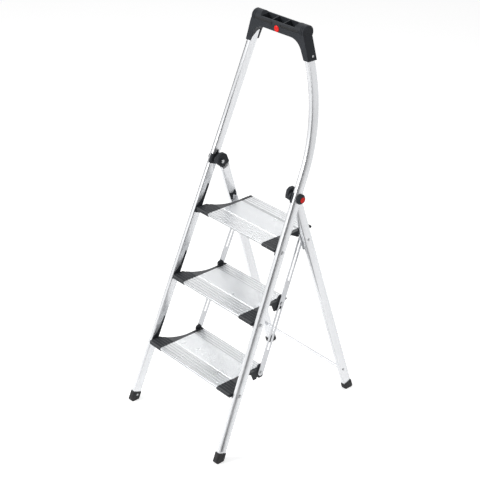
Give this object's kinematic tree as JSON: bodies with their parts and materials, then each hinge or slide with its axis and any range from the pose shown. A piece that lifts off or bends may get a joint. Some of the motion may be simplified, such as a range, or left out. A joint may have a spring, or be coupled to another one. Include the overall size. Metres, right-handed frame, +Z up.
{
  "type": "step stool",
  "caption": "Folding step stool with ribbed aluminium treads between tall tube rails that bend into a black tool-tray grab handle, and a hinged rear frame.",
  "frame": {"origin": "middle of the footprint's bounding box, on the floor", "axes": "+X to the user's right, +Y the way the user climbs, towards the rear legs, +Z up"},
  "size_m": [0.4882, 0.6632, 1.357],
  "materials": {
    "rail_aluminium": "satin, drawn tube",
    "deck_aluminium": "ribbed extrusion, satin",
    "strip_aluminium": "flat strip, satin",
    "rivet_steel": "zinc plated",
    "black_plastic": "fine texture, anthracite",
    "foot_rubber": "matt",
    "red_plastic": "smooth, bare"
  },
  "bodies": {
    "front_frame": {"rail_left": "rail_aluminium", "rail_right": "rail_aluminium", "front_foot_left": "foot_rubber", "front_foot_right": "foot_rubber", "tray": "black_plastic", "tray_badge": "red_plastic", "tray_rivets": "rivet_steel", "guard_plates_left": "black_plastic", "guard_plates_right": "black_plastic", "pivot_pins_left": "rivet_steel", "pivot_pins_right": "rivet_steel", "hinge_clamp_left": "black_plastic", "hinge_clamp_right": "black_plastic", "hinge_cap_left": "black_plastic", "hinge_cap_right": "black_plastic", "hinge_badge_left": "red_plastic", "hinge_badge_right": "red_plastic", "hinge_bolt_left": "rivet_steel", "hinge_bolt_right": "rivet_steel", "front_foot_rivets": "rivet_steel"},
    "rear_frame": {"leg_left": "rail_aluminium", "leg_right": "rail_aluminium", "rear_foot_left": "foot_rubber", "rear_foot_right": "foot_rubber", "hinge_shell_left": "black_plastic", "hinge_shell_right": "black_plastic", "cross_bar": "rail_aluminium", "bar_rivets": "rivet_steel", "leg_pad_left": "black_plastic", "leg_pad_right": "black_plastic", "stay_plate_left": "strip_aluminium", "stay_plate_right": "strip_aluminium", "plate_rivets": "rivet_steel", "stay_stud_left": "rivet_steel", "stay_stud_right": "rivet_steel", "rear_foot_rivets": "rivet_steel"},
    "low_step": {"deck_low": "deck_aluminium", "cap_low_left": "black_plastic", "cap_low_right": "black_plastic", "strap_pins_low": "rivet_steel"},
    "middle_step": {"deck_mid": "deck_aluminium", "cap_mid_left": "black_plastic", "cap_mid_right": "black_plastic", "strap_pins_mid": "rivet_steel"},
    "platform": {"deck_top": "deck_aluminium", "cap_top_left": "black_plastic", "cap_top_right": "black_plastic", "strap_pins_top": "rivet_steel"},
    "left_strap": {"strap_left": "strip_aluminium"},
    "right_strap": {"strap_right": "strip_aluminium"}
  },
  "joints": [
    {"name": "rear_fold", "type": "hinge", "parent": "front_frame", "child": "rear_frame", "pos_m": [0, 0.04608, 0.837], "axis": [-1, 0, 0], "range_deg": [0, 36.8]},
    {"name": "low_step_fold", "type": "hinge", "parent": "front_frame", "child": "low_step", "pos_m": [0, -0.22259, 0.2177], "axis": [1, 0, 0], "range_deg": [0, 67.15]},
    {"name": "middle_step_fold", "type": "hinge", "parent": "front_frame", "child": "middle_step", "pos_m": [0, -0.12664, 0.4454], "axis": [1, 0, 0], "range_deg": [0, 67.15]},
    {"name": "platform_fold", "type": "hinge", "parent": "front_frame", "child": "platform", "pos_m": [0, -0.03069, 0.6731], "axis": [1, 0, 0], "range_deg": [0, 67.15]},
    {"name": "left_strap_swing", "type": "hinge", "parent": "platform", "child": "left_strap", "pos_m": [-0.15216, 0.12031, 0.6661], "axis": [-1, 0, 0], "range_deg": [0, 67.15]},
    {"name": "right_strap_swing", "type": "hinge", "parent": "platform", "child": "right_strap", "pos_m": [0.15216, 0.12031, 0.6661], "axis": [-1, 0, 0], "range_deg": [0, 67.15]}
  ],
  "couplings": [
    {"joint": "low_step_fold", "follows": "rear_fold", "ratio": 1.8247},
    {"joint": "middle_step_fold", "follows": "rear_fold", "ratio": 1.8247},
    {"joint": "platform_fold", "follows": "rear_fold", "ratio": 1.8247},
    {"joint": "left_strap_swing", "follows": "rear_fold", "ratio": 1.8247},
    {"joint": "right_strap_swing", "follows": "rear_fold", "ratio": 1.8247}
  ]
}
